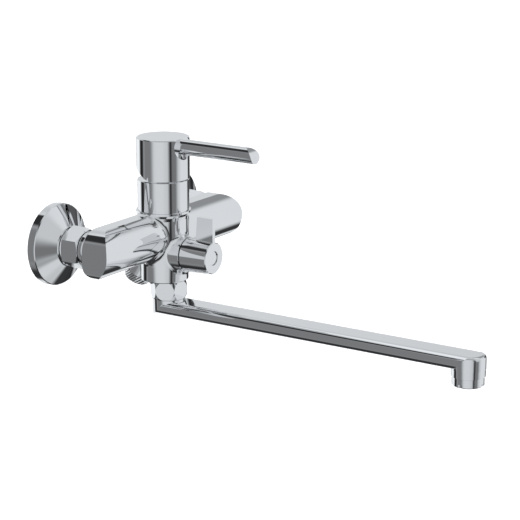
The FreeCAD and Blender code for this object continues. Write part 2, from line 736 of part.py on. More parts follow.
def make_inlets():
    """Flange, eccentric union, washer, tail piece and union nut on each side."""
    for side, sign in (("left", "-"), ("right", "")):
        x = sign + "inlet_reach"
        flange = turned(
            "wall_flange_" + side,
            [
                ("flange_radius - edge", "0"),
                ("flange_radius", "edge"),
                ("flange_radius", "flange_rim - edge"),
                ("flange_radius - edge", "flange_rim"),
                ("flange_mouth", "flange_out - edge"),
                ("flange_mouth - edge", "flange_out"),
                ("union_thread + running_gap", "flange_out"),
                ("union_thread + running_gap", "flange_out - 2 * flange_wall"),
                ("flange_mouth - flange_wall", "flange_out - 2 * flange_wall"),
                ("flange_radius - 2 * flange_wall", "flange_rim - flange_wall"),
                ("flange_radius - flange_wall", "flange_rim - 2 * flange_wall"),
                ("flange_radius - flange_wall", "0"),
            ],
            (x, "0", "0"),
            OUT,
        )
        keep(flange, "wall_flange_" + side)

        wall_end = turned(
            "union_wall_end_" + side,
            [
                ("union_bore", "0"),
                ("wall_thread - thread_chamfer", "0"),
                ("wall_thread", "thread_chamfer"),
                ("wall_thread", "wall_thread_depth + wall_thread_run"),
                ("wall_thread - thread_relief", "wall_thread_depth + wall_thread_run"),
                ("wall_thread - thread_relief", "wall_thread_depth + union_flange_out"),
                ("union_bore", "wall_thread_depth + union_flange_out"),
            ],
            (x, "wall_thread_depth", "-union_drop"),
            OUT,
        )
        front_end = turned(
            "union_front_end_" + side,
            [
                ("union_bore", "0"),
                ("union_thread", "0"),
                ("union_thread", "union_out - union_flange_out - thread_chamfer"),
                ("union_thread - thread_chamfer", "union_out - union_flange_out"),
                ("union_bore", "union_out - union_flange_out"),
            ],
            (x, "-union_flange_out", "0"),
            OUT,
        )
        web_start = (x, "-union_flange_out + union_web / 2", "0")
        web = rod("union_web_" + side, "union_thread", "union_web", web_start, OUT)
        way_back = rod(
            "union_way_back_" + side,
            "union_bore",
            "wall_thread_depth + union_flange_out + union_web / 2",
            (x, "wall_thread_depth", "-union_drop"),
            OUT,
        )
        way_front = rod(
            "union_way_front_" + side, "union_bore", "union_web + cut_margin", web_start, OUT
        )
        solid = join("union_solid_" + side, [wall_end, front_end, web])
        union = remove("union_cut_" + side, solid, [way_back, way_front])
        keep(union, "eccentric_union_" + side)

        washer = turned(
            "washer_" + side,
            [
                ("union_bore", "0"),
                ("union_thread - nut_play", "0"),
                ("union_thread - nut_play", "washer_height"),
                ("union_bore", "washer_height"),
            ],
            (x, "-union_out", "0"),
            OUT,
        )
        keep(washer, "filter_washer_" + side)

        tail = turned(
            "tail_" + side,
            [
                ("tail_bore", "0"),
                ("union_thread - nut_play", "0"),
                ("union_thread - nut_play", "tail_flange"),
                ("tail_radius", "tail_flange"),
                ("tail_radius", "tail_flange + nut_lip + nut_gap + tail_depth"),
                ("tail_bore", "tail_flange + nut_lip + nut_gap + tail_depth"),
            ],
            (x, "-union_out - washer_height", "0"),
            OUT,
        )
        keep(tail, "inlet_tail_" + side)

        # hexagon with its corners at top and bottom, its ends chamfered by a turned outline
        prism = hexagon(
            "nut_prism_" + side,
            "nut_flats",
            "%s - nut_start_out" % NUT_END_OUT,
            (x, "-nut_start_out", "0"),
            Rotation(Vector(1, 0, 0), 90).multiply(Rotation(Vector(0, 0, 1), 30)),
        )
        outline = turned(
            "nut_outline_" + side,
            [
                ("0", "0"),
                ("nut_flats / 2", "0"),
                ("nut_flats / 2 + 2 * nut_bevel", "nut_bevel"),
                ("nut_flats / 2 + 2 * nut_bevel", "%s - nut_start_out - nut_bevel" % NUT_END_OUT),
                ("nut_flats / 2", "%s - nut_start_out" % NUT_END_OUT),
                ("0", "%s - nut_start_out" % NUT_END_OUT),
            ],
            (x, "-nut_start_out", "0"),
            OUT,
        )
        thread = rod(
            "nut_thread_" + side,
            "union_thread + fixed_gap",
            "union_out + washer_height + tail_flange - nut_start_out + cut_margin",
            (x, "-nut_start_out + cut_margin", "0"),
            OUT,
        )
        hole = rod(
            "nut_hole_" + side,
            "tail_radius + fixed_gap",
            "nut_lip + 2 * cut_margin",
            (x, "-union_out - washer_height - tail_flange + cut_margin", "0"),
            OUT,
        )
        nut = remove("nut_cut_" + side, overlap("nut_hex_" + side, [prism, outline]), [thread, hole])
        keep(nut, "union_nut_" + side)


# ---------------------------------------------------------------- cartridge

# heights of the stack inside the cartridge, each seated on the one before
BASE_RISE = "seat_rise + gasket_height"
FIXED_RISE = BASE_RISE + " + base_height"
MOVING_RISE = FIXED_RISE + " + disc_height + disc_film"
CARRIER_RISE = MOVING_RISE + " + disc_height"
ROTOR_RISE = CARRIER_RISE + " + carrier_height + stem_play"
CLAMP_TOP = NECK_TOP + " - clamp_sink"
CLAMP_RISE = CLAMP_TOP + " - clamp_nut_height"
COLUMN = ("0", "-column_out")


def ports(name, rise, length):
    """The two inlet ports and the outlet port of a round piece on the column axis."""
    places = [("-port_reach", "0"), ("port_reach", "0"), ("0", "outlet_reach")]
    return [
        rod(
            "%s_port_%d" % (name, i),
            "port_radius",
            "%s + 2 * cut_margin" % length,
            (x, "-column_out + " + y, "%s - cut_margin" % rise),
        )
        for i, (x, y) in enumerate(places, start=1)
    ]


def make_cartridge():
    """Ceramic disc cartridge and the nut that clamps it into the body."""
    for label, radius, rise, height in (
        ("cartridge_gasket", "cartridge_radius - seal_inset", "seat_rise", "gasket_height"),
        ("cartridge_base", "cartridge_radius", BASE_RISE, "base_height"),
        ("fixed_ceramic_disc", "fixed_disc_radius", FIXED_RISE, "disc_height"),
    ):
        disc = rod(label + "_rod", radius, height, COLUMN + (rise,))
        keep(remove(label + "_cut", disc, ports(label, rise, height)), label)

    disc_y = "-column_out + disc_offset"
    moving = rod("moving_disc_rod", "moving_disc_radius", "disc_height", ("0", disc_y, MOVING_RISE))
    pocket = rod(
        "moving_disc_pocket",
        "disc_pocket_radius",
        "disc_pocket_depth + cut_margin",
        ("0", disc_y, MOVING_RISE + " - cut_margin"),
    )
    keep(remove("moving_disc_cut", moving, [pocket]), "moving_ceramic_disc")

    carrier = rod(
        "carrier_rod", "moving_disc_radius", "carrier_height", ("0", disc_y, CARRIER_RISE)
    )
    foot_hole = rod(
        "carrier_hole",
        "foot_radius + stem_play",
        "carrier_height",
        COLUMN + (CARRIER_RISE + " + carrier_floor",),
    )
    keep(remove("carrier_cut", carrier, [foot_hole]), "disc_carrier")

    housing = turned(
        "housing",
        [
            ("housing_cavity", FIXED_RISE),
            ("cartridge_radius", FIXED_RISE),
            ("cartridge_radius", CLAMP_RISE),
            ("clamp_nut_bore - fixed_gap", CLAMP_RISE),
            ("clamp_nut_bore - fixed_gap", CLAMP_TOP),
            ("rotor_radius + running_gap", CLAMP_TOP),
            ("rotor_radius + running_gap", ROTOR_RISE + " + rotor_flange_height + running_gap"),
            ("housing_cavity", ROTOR_RISE + " + rotor_flange_height + running_gap"),
        ],
        COLUMN + ("0",),
    )
    keep(housing, "cartridge_housing")

    clamp_nut = turned(
        "clamp_nut",
        [
            ("clamp_nut_bore", "0"),
            ("cartridge_radius", "0"),
            ("cartridge_radius", "clamp_nut_height"),
            ("clamp_nut_bore", "clamp_nut_height"),
        ],
        COLUMN + (CLAMP_RISE,),
    )
    spanner_slot = block(
        "clamp_slot",
        ("clamp_slot_width", "2 * cartridge_radius", "clamp_slot_depth + cut_margin"),
        (
            "-clamp_slot_width / 2",
            "-column_out - cartridge_radius",
            CLAMP_TOP + " - clamp_slot_depth",
        ),
    )
    keep(remove("clamp_nut_cut", clamp_nut, [spanner_slot]), "cartridge_clamp_nut")

    rotor = turned(
        "rotor",
        [
            ("0", "0"),
            ("rotor_flange", "0"),
            ("rotor_flange", "rotor_flange_height"),
            ("rotor_radius", "rotor_flange_height"),
            ("rotor_radius", "%s - (%s)" % (CLAMP_TOP, ROTOR_RISE)),
            ("0", "%s - (%s)" % (CLAMP_TOP, ROTOR_RISE)),
        ],
        COLUMN + (ROTOR_RISE,),
    )
    slot = block(
        "rotor_slot",
        (
            "stem_size + 2 * stem_play",
            "slot_front + stem_size + slot_back",
            "%s - (%s) + 2 * cut_margin" % (CLAMP_TOP, ROTOR_RISE),
        ),
        (
            "-stem_size / 2 - stem_play",
            "-column_out - stem_size / 2 - slot_front",
            ROTOR_RISE + " - cut_margin",
        ),
    )
    pin_hole = rod(
        "rotor_pin_hole",
        "pivot_radius",
        "2 * rotor_radius",
        ("-rotor_radius", "-column_out", "pivot_rise"),
        RIGHT,
    )
    keep(remove("rotor_cut", rotor, [slot, pin_hole]), "cartridge_rotor")

    pin = rod(
        "pin_rod",
        "pivot_radius",
        "2 * rotor_radius - 2 * pin_inset",
        ("-rotor_radius + pin_inset", "-column_out", "pivot_rise"),
        RIGHT,
    )
    keep(pin, "stem_pivot_pin")


# ---------------------------------------------------------------- handle

def make_handle():
    """Trim sleeve, handle cap, grub screw, lever rod and cartridge stem."""
    sleeve = turned(
        "sleeve",
        [
            ("tower_radius + fixed_gap", "0"),
            ("sleeve_radius - edge / 2", "0"),
            ("sleeve_radius", "edge / 2"),
            ("sleeve_radius", "sleeve_top - sleeve_rise - edge"),
            ("sleeve_radius - edge", "sleeve_top - sleeve_rise"),
            ("cartridge_radius - 2", "sleeve_top - sleeve_rise"),
            ("cartridge_radius - 2", "sleeve_top - sleeve_lip - sleeve_rise"),
            ("tower_radius + fixed_gap", "sleeve_top - sleeve_lip - sleeve_rise"),
        ],
        COLUMN + ("sleeve_rise",),
    )
    keep(sleeve, "trim_sleeve")

    bottom = "sleeve_top + seam"
    skirt = turned(
        "cap_outside",
        [
            ("0", "0"),
            ("cap_radius - edge / 2", "0"),
            ("cap_radius", "edge / 2"),
            ("cap_radius", "cap_top - (%s) - edge" % bottom),
            ("cap_radius - edge", "cap_top - (%s)" % bottom),
            ("0", "cap_top - (%s)" % bottom),
        ],
        COLUMN + (bottom,),
    )
    hollow = turned(
        "cap_hollow",
        [
            ("0", "-cut_margin"),
            ("cap_radius - cap_wall", "-cut_margin"),
            ("cap_radius - cap_wall", "cap_top - cap_roof - (%s)" % bottom),
            ("cap_boss", "cap_top - cap_roof - (%s)" % bottom),
            ("cap_boss", "cap_boss_rise - (%s)" % bottom),
            ("0", "cap_boss_rise - (%s)" % bottom),
        ],
        COLUMN + (bottom,),
    )
    # a big block behind the column axis, tilted so that its upper face slopes up to the wall
    slope = block("cap_slope", (BIG, BIG, BIG), ("0", "0", "0"))
    angle = sheet.get("cap_cut_angle")
    lean(slope, angle, (0, -BIG), "-column_out - cap_cut_lead", bottom)
    spot = rod(
        "spot_face",
        "spot_radius",
        "cap_radius",
        ("0", "-spot_out", "lever_rise"),
        OUT,
    )
    lever_socket = rod(
        "cap_lever_socket",
        "lever_radius - lever_step + fixed_gap",
        "lever_socket + cut_margin",
        ("0", "-spot_out + lever_socket", "lever_rise"),
        OUT,
    )
    half = "stem_size / 2 + fixed_gap"
    stem_socket = block(
        "cap_stem_socket",
        ("2 * (%s)" % half, "2 * (%s)" % half, "stem_top - cap_boss_rise + cut_margin + running_gap"),
        ("-(%s)" % half, "-column_out - (%s)" % half, "cap_boss_rise - cut_margin"),
    )
    grub_hole = rod(
        "cap_grub_hole",
        "grub_radius + fixed_gap",
        "cap_radius",
        ("0", "-column_out + stem_size / 2", "cap_boss_rise + grub_rise"),
        BACK,
    )
    tools = [hollow, slope, spot, lever_socket, stem_socket, grub_hole]
    keep(remove("cap_cut", skirt, tools), "handle_cap")

    grub = rod(
        "grub_rod",
        "grub_radius",
        "grub_length",
        ("0", "-column_out + stem_size / 2 + fixed_gap", "cap_boss_rise + grub_rise"),
        BACK,
    )
    key = hexagon(
        "grub_key",
        "grub_key",
        "grub_key_depth + cut_margin",
        (
            "0",
            "-column_out + stem_size / 2 + grub_length - grub_key_depth",
            "cap_boss_rise + grub_rise",
        ),
        BACK,
    )
    keep(remove("grub_cut", grub, [key]), "grub_screw")

    shank = rod(
        "lever_shank",
        "lever_radius - lever_step",
        "lever_socket + cut_margin",
        ("0", "-spot_out + lever_socket - running_gap", "lever_rise"),
        OUT,
    )
    handle = rod(
        "lever_handle",
        "lever_radius",
        "lever_out - spot_out",
        ("0", "-spot_out", "lever_rise"),
        OUT,
    )
    # the top of the lever runs down to its end in a quarter circle about a cross axis
    tip_centre = ("-lever_out + lever_tip_round", "lever_rise + lever_radius - lever_tip_round")
    tip_corner = block(
        "lever_tip_corner",
        ("4 * lever_radius", "lever_tip_round + cut_margin", "lever_tip_round + cut_margin"),
        ("-2 * lever_radius", "-lever_out - cut_margin", tip_centre[1]),
    )
    tip_curve = rod(
        "lever_tip_curve",
        "lever_tip_round",
        "4 * lever_radius",
        ("-2 * lever_radius",) + tip_centre,
        RIGHT,
    )
    tip_waste = remove("lever_tip_waste", tip_corner, [tip_curve])
    lever = remove("lever_cut", join("lever_solid", [shank, handle]), [tip_waste])
    keep(lever, "lever_rod")

    shaft = block(
        "stem_shaft",
        ("stem_size", "stem_size", "stem_top - pivot_rise + stem_size / 2"),
        ("-stem_size / 2", "-column_out - stem_size / 2", "pivot_rise - stem_size / 2"),
    )
    foot_rise = CARRIER_RISE + " + carrier_floor + stem_play + foot_radius"
    foot = ball("stem_foot", "foot_radius", COLUMN + (foot_rise,))
    shin = rod(
        "stem_shin",
        "foot_radius - shin_step",
        "pivot_rise - (%s)" % foot_rise,
        COLUMN + (foot_rise,),
    )
    pin_way = rod(
        "stem_pin_hole",
        "pivot_radius + running_gap",
        "2 * stem_size",
        ("-stem_size", "-column_out", "pivot_rise"),
        RIGHT,
    )
    keep(remove("stem_cut", join("stem_solid", [shaft, foot, shin]), [pin_way]), "cartridge_stem")


# ---------------------------------------------------------------- diverter

SEAL_OUT = "diverter_seat_out"
DISC_OUT = SEAL_OUT + " + diverter_seal_height"
SECOND_OUT = DISC_OUT + " + diverter_disc_height + disc_film"
SPINDLE_OUT = SECOND_OUT + " + diverter_disc_height"
RING_OUT = "diverter_face_out - spindle_ring_inset"
RECESS_OUT = "knob_out - knob_disc_depth"
SPINDLE_END_OUT = RECESS_OUT + " - knob_floor"


def on_diverter(out):
    return ("0", "-(%s)" % out, "-diverter_drop")


def make_diverter():
    """Quarter turn diverter: seal, discs, spindle, headwork, knob, screw and cap."""
    seal = turned(
        "diverter_seal_ring",
        [
            ("diverter_port", "0"),
            ("diverter_bore - seal_inset", "0"),
            ("diverter_bore - seal_inset", "diverter_seal_height"),
            ("diverter_port", "diverter_seal_height"),
        ],
        on_diverter(SEAL_OUT),
        OUT,
    )
    keep(seal, "diverter_seat_seal")

    for label, out in (("diverter_fixed_disc", DISC_OUT), ("diverter_moving_disc", SECOND_OUT)):
        disc = rod(
            label + "_rod", "diverter_disc_radius", "diverter_disc_height", on_diverter(out), OUT
        )
        window = rod(
            label + "_window",
            "diverter_window",
            "diverter_disc_height + 2 * cut_margin",
            ("diverter_window_reach", "-(%s) + cut_margin" % out, "-diverter_drop"),
            OUT,
        )
        keep(remove(label + "_cut", disc, [window]), label)

    spindle = turned(
        "spindle",
        [
            ("0", "0"),
            ("diverter_disc_radius - spindle_inset", "0"),
            ("diverter_disc_radius - spindle_inset", "spindle_flange"),
            ("spindle_radius", "spindle_flange"),
            ("spindle_radius", "%s - (%s)" % (RING_OUT, SPINDLE_OUT)),
            ("spindle_radius - spindle_ring", "%s - (%s)" % (RING_OUT, SPINDLE_OUT)),
            ("spindle_radius - spindle_ring", "%s + spindle_ring_width - (%s)" % (RING_OUT, SPINDLE_OUT)),
            ("spindle_radius", "%s + spindle_ring_width - (%s)" % (RING_OUT, SPINDLE_OUT)),
            ("spindle_radius", "%s - (%s)" % (SPINDLE_END_OUT, SPINDLE_OUT)),
            ("0", "%s - (%s)" % (SPINDLE_END_OUT, SPINDLE_OUT)),
        ],
        on_diverter(SPINDLE_OUT),
        OUT,
    )
    screw_hole = rod(
        "spindle_screw_hole",
        "screw_radius + fixed_gap",
        "screw_length",
        on_diverter(RECESS_OUT + " - screw_length - cut_margin"),
        OUT,
    )
    keep(remove("spindle_cut", spindle, [screw_hole]), "diverter_spindle")

    ring = turned(
        "spindle_ring_outline",
        [
            ("spindle_radius - spindle_ring", "0"),
            ("spindle_radius + running_gap / 2", "0"),
            ("spindle_radius + running_gap / 2", "spindle_ring_width"),
            ("spindle_radius - spindle_ring", "spindle_ring_width"),
        ],
        on_diverter(RING_OUT),
        OUT,
    )
    keep(ring, "spindle_o_ring")

    headwork = turned(
        "headwork",
        [
            ("diverter_disc_radius + running_gap", "0"),
            ("diverter_bore - fixed_gap", "0"),
            ("diverter_bore - fixed_gap", "diverter_face_out - (%s)" % DISC_OUT),
            ("headwork_flange", "diverter_face_out - (%s)" % DISC_OUT),
            (
                "headwork_flange",
                "diverter_face_out + headwork_flange_height - (%s)" % DISC_OUT,
            ),
            (
                "spindle_radius + running_gap",
                "diverter_face_out + headwork_flange_height - (%s)" % DISC_OUT,
            ),
            (
                "spindle_radius + running_gap",
                "%s + spindle_flange + running_gap - (%s)" % (SPINDLE_OUT, DISC_OUT),
            ),
            (
                "diverter_disc_radius + running_gap",
                "%s + spindle_flange + running_gap - (%s)" % (SPINDLE_OUT, DISC_OUT),
            ),
        ],
        on_diverter(DISC_OUT),
        OUT,
    )
    keep(headwork, "diverter_headwork")

    knob_start = "diverter_face_out + seam"
    knob_length = "knob_out - (%s)" % knob_start
    knob_round = turned(
        "knob_outside",
        [
            ("0", "0"),
            ("knob_back_radius - edge", "0"),
            ("knob_back_radius", "edge"),
            ("knob_front_radius", "%s - edge" % knob_length),
            ("knob_front_radius - edge", knob_length),
            ("0", knob_length),
        ],
        on_diverter(knob_start),
        OUT,
    )
    # the flag stands on the knob's axis, and its rear edge leans back towards its foot
    flag = doc.addObject("Part::Wedge", "knob_flag")
    for prop, text in (
        ("Xmin", "-flag_thickness / 2"),
        ("Xmax", "flag_thickness / 2"),
        ("X2min", "-flag_thickness / 2"),
        ("X2max", "flag_thickness / 2"),
        ("Ymin", "0"),
        ("Ymax", "flag_rise + diverter_drop"),
        ("Zmin", "knob_out - flag_depth - flag_slope"),
        ("Zmax", "knob_out"),
        ("Z2min", "knob_out - flag_depth"),
        ("Z2max", "knob_out"),
    ):
        bind(flag, prop, text)
    place(flag, ("0", "0", "-diverter_drop"), OUT)
    knob_solid = join("knob_solid", [knob_round, flag])
    hollow = rod(
        "knob_hollow",
        "knob_cavity",
        "headwork_flange_height - seam + knob_clearance + cut_margin",
        on_diverter("%s - cut_margin" % knob_start),
        OUT,
    )
    socket = rod(
        "knob_spindle_socket",
        "spindle_radius + fixed_gap",
        "knob_socket",
        on_diverter(SPINDLE_END_OUT + " - knob_socket"),
        OUT,
    )
    through = rod(
        "knob_screw_way",
        "screw_way",
        "knob_floor + 2 * cut_margin",
        on_diverter(SPINDLE_END_OUT + " - cut_margin"),
        OUT,
    )
    recess = rod(
        "knob_recess",
        "knob_disc_radius",
        "knob_disc_depth + cut_margin",
        on_diverter(RECESS_OUT),
        OUT,
    )
    keep(remove("knob_cut", knob_solid, [hollow, socket, through, recess]), "diverter_knob")

    screw_head = rod(
        "screw_head", "screw_head_radius", "screw_head_height", on_diverter(RECESS_OUT), OUT
    )
    screw_shank = rod(
        "screw_shank",
        "screw_radius",
        "screw_length",
        on_diverter(RECESS_OUT + " - screw_length"),
        OUT,
    )
    keep(join("knob_screw_solid", [screw_head, screw_shank]), "knob_screw")

    disc = turned(
        "knob_disc",
        [
            ("0", "0"),
            ("knob_disc_radius - knob_disc_gap", "0"),
            ("knob_disc_radius - knob_disc_gap", "knob_disc_height - knob_disc_bevel"),
            ("knob_disc_radius - knob_disc_gap - knob_disc_bevel", "knob_disc_height"),
            ("0", "knob_disc_height"),
        ],
        on_diverter("knob_out - knob_disc_sink - knob_disc_height"),
        OUT,
    )
    keep(disc, "knob_screw_cap")


# ---------------------------------------------------------------- spout

SPOUT_AXIS = ("0", "-spout_axis_out")
TIP_AXIS = ("0", "-spout_axis_out - spout_length")
NUT_TOP_DROP = "tower_drop + nut_seam"
NUT_BOTTOM_DROP = NUT_TOP_DROP + " + spout_nut_height"
LIP_DROP = NUT_BOTTOM_DROP + " - spout_nut_lip"
WASHER_DROP = LIP_DROP + " - slip_washer_height"
RING_DROP = WASHER_DROP + " - split_ring_height"
RISER_RADIUS = "spout_bore - running_gap"
SPOUT_RING = "0.9 * seal_radius"            # O-rings are squeezed to nine tenths
GROOVE_DEPTH = "1.8 * seal_radius"
GROOVE_HALF = "1.1 * seal_radius"


def round_topped(name, depth, low):
    """The spout's round tip, with the edge of its top rounded."""
    plain = rod(name + "_plain", "spout_half_width", depth, TIP_AXIS + (low,))
    top = -sheet.get("spout_top_drop")
    return rounded(
        name,
        plain,
        "spout_tip_round",
        lambda edge: all(abs(p.z - top) < 0.01 for p in edge_points(edge)),
    )


def make_spout():
    """Flat spout with its riser, collar, seals and the nut that holds it."""
    depth = "spout_height"
    low = "-spout_top_drop - spout_height"

    # front to back outline: a long stadium seen from above
    plan = join(
        "spout_plan",
        [
            block(
                "spout_plan_middle",
                ("2 * spout_half_width", "spout_length", depth),
                ("-spout_half_width", "-spout_axis_out - spout_length", low),
            ),
            rod("spout_plan_near", "spout_half_width", depth, SPOUT_AXIS + (low,)),
            round_topped("spout_plan_far", depth, low),
        ],
    )
    # cross section of the bar: a flat stadium with round sides
    side = "spout_height / 2"
    length = "spout_length + 2 * spout_half_width"
    start = "-spout_axis_out + spout_half_width"
    centre = "-spout_top_drop - spout_height / 2"
    section = join(
        "spout_section",
        [
            block(
                "spout_section_middle",
                ("2 * (spout_half_width - %s)" % side, length, depth),
                (
                    "-spout_half_width + %s" % side,
                    "-spout_axis_out - spout_length - spout_half_width",
                    low,
                ),
            ),
            rod(
                "spout_section_left",
                side,
                length,
                ("-spout_half_width + %s" % side, start, centre),
                OUT,
            ),
            rod(
                "spout_section_right",
                side,
                length,
                ("spout_half_width - %s" % side, start, centre),
                OUT,
            ),
        ],
    )
    # the upright ends keep the full round outline on one side of a 45 degree mitre
    ends = []
    for name, axis_out, top in (
        ("near", "spout_axis_out", 0),
        ("far", "spout_axis_out + spout_length", -BIG),
    ):
        slab = block("spout_mitre_" + name, (BIG, BIG, BIG), ("0", "0", "0"))
        lean(slab, -45, (-BIG / 2, top), "-(%s) + cut_margin" % axis_out, centre)
        if name == "far":
            full = round_topped("spout_end_far", depth, low)
        else:
            full = rod("spout_end_near", "spout_half_width", depth, SPOUT_AXIS + (low,))
        ends.append(overlap("spout_upright_" + name, [full, slab]))
    bar = join("spout_outside", [overlap("spout_bar", [plan, section])] + ends)

    inner = "%s - split_ring_depth" % RISER_RADIUS
    outline = [
        ("0", "-spout_top_drop - root_depth"),
        ("spout_half_width", "-spout_top_drop - root_depth"),
        ("spout_half_width", "-(%s) - nut_seam" % NUT_BOTTOM_DROP),
        (RISER_RADIUS, "-(%s) - nut_seam" % NUT_BOTTOM_DROP),
        (RISER_RADIUS, "-(%s)" % WASHER_DROP),
        (inner, "-(%s)" % WASHER_DROP),
        (inner, "-(%s)" % RING_DROP),
        (RISER_RADIUS, "-(%s)" % RING_DROP),
    ]
    for drop in ("seal_lower_drop", "seal_upper_drop"):
        outline.append((RISER_RADIUS, "-%s - %s" % (drop, GROOVE_HALF)))
        outline.append(("%s - %s" % (RISER_RADIUS, GROOVE_DEPTH), "-%s - %s" % (drop, GROOVE_HALF)))
        outline.append(("%s - %s" % (RISER_RADIUS, GROOVE_DEPTH), "-%s + %s" % (drop, GROOVE_HALF)))
        outline.append((RISER_RADIUS, "-%s + %s" % (drop, GROOVE_HALF)))
    outline.append((RISER_RADIUS, "-riser_drop - edge"))
    outline.append(("%s - edge" % RISER_RADIUS, "-riser_drop"))
    outline.append(("0", "-riser_drop"))
    riser = turned("spout_riser", outline, SPOUT_AXIS + ("0",))
    collar = rod(
        "spout_collar",
        "collar_tip_radius",
        "collar_drop - spout_top_drop - root_depth",
        TIP_AXIS + ("-collar_drop",),
    )
    outside = join("spout_solid", [bar, riser, collar])
    inner_side = "spout_height / 2 - spout_wall"
    way = join(
        "spout_way_bar",
        [
            block(
                "spout_way_middle",
                (
                    "2 * (spout_half_width - spout_height / 2)",
                    "spout_length",
                    "spout_height - 2 * spout_wall",
                ),
                (
                    "-spout_half_width + spout_height / 2",
                    "-spout_axis_out - spout_length",
                    low + " + spout_wall",
                ),
            )
        ]
        + [
            rod(
                "spout_way_" + side_name,
                inner_side,
                "spout_length",
                (x, "-spout_axis_out", centre),
                OUT,
            )
            for side_name, x in (
                ("left", "-spout_half_width + spout_height / 2"),
                ("right", "spout_half_width - spout_height / 2"),
            )
        ],
    )
    riser_way = rod(
        "spout_riser_way",
        "riser_bore",
        "spout_top_drop + spout_height / 2 - riser_drop + cut_margin",
        SPOUT_AXIS + (centre,),
    )
    outlet = rod(
        "spout_outlet",
        "aerator_thread + fixed_gap",
        "aerator_thread_height + aerator_seal_height + cut_margin",
        TIP_AXIS + ("-collar_drop - cut_margin",),
    )
    outlet_way = rod(
        "spout_outlet_way",
        "aerator_bore - way_step",
        "collar_drop - spout_top_drop - spout_height / 2",
        TIP_AXIS + ("-collar_drop",),
    )
    keep(remove("spout_cut", outside, [way, riser_way, outlet, outlet_way]), "spout")

    for label, drop in (("upper", "seal_upper_drop"), ("lower", "seal_lower_drop")):
        ring = doc.addObject("Part::Torus", "spout_seal_" + label)
        bind(ring, "Radius2", SPOUT_RING)
        bind(ring, "Radius1", "%s - %s" % (RISER_RADIUS, SPOUT_RING))
        place(ring, SPOUT_AXIS + ("-" + drop,), UP)
        keep(ring, "spout_o_ring_" + label)

    split = turned(
        "split_ring_outline",
        [
            ("%s - split_ring_depth + fixed_gap" % RISER_RADIUS, "0"),
            ("split_ring_radius", "0"),
            ("split_ring_radius", "split_ring_height"),
            ("%s - split_ring_depth + fixed_gap" % RISER_RADIUS, "split_ring_height"),
        ],
        SPOUT_AXIS + ("-(%s)" % WASHER_DROP,),
    )
    split_gap = block(
        "split_ring_gap",
        ("split_ring_slit", "2 * split_ring_radius", "split_ring_height + 2 * cut_margin"),
        ("-split_ring_slit / 2", "-spout_axis_out", "-(%s) - cut_margin" % WASHER_DROP),
    )
    keep(remove("split_ring_cut", split, [split_gap]), "spout_split_ring")

    washer = turned(
        "slip_washer_outline",
        [
            ("spout_bore", "0"),
            ("split_ring_radius", "0"),
            ("split_ring_radius", "slip_washer_height"),
            ("spout_bore", "slip_washer_height"),
        ],
        SPOUT_AXIS + ("-(%s)" % LIP_DROP,),
    )
    keep(washer, "spout_slip_washer")

    nut_middle = "-(%s) - spout_nut_height / 2" % NUT_TOP_DROP
    nut_ball = ball("spout_nut_ball_solid", "spout_nut_ball", SPOUT_AXIS + (nut_middle,))
    turn = sheet.get("spout_nut_turn")
    nut_hex = hexagon(
        "spout_nut_hex",
        "spout_nut_flats",
        "spout_nut_height",
        SPOUT_AXIS + ("-(%s)" % NUT_BOTTOM_DROP,),
        Rotation(Vector(0, 0, 1), -turn),
    )
    nut_thread = rod(
        "spout_nut_thread",
        "spout_thread + fixed_gap",
        "spout_nut_height - spout_nut_lip + cut_margin",
        SPOUT_AXIS + ("-(%s)" % LIP_DROP,),
    )
    nut_hole = rod(
        "spout_nut_hole",
        "spout_bore",
        "spout_nut_lip + 2 * cut_margin",
        SPOUT_AXIS + ("-(%s) - cut_margin" % NUT_BOTTOM_DROP,),
    )
    nut = remove(
        "spout_nut_cut", overlap("spout_nut_outside", [nut_ball, nut_hex]), [nut_thread, nut_hole]
    )
    keep(nut, "spout_nut")


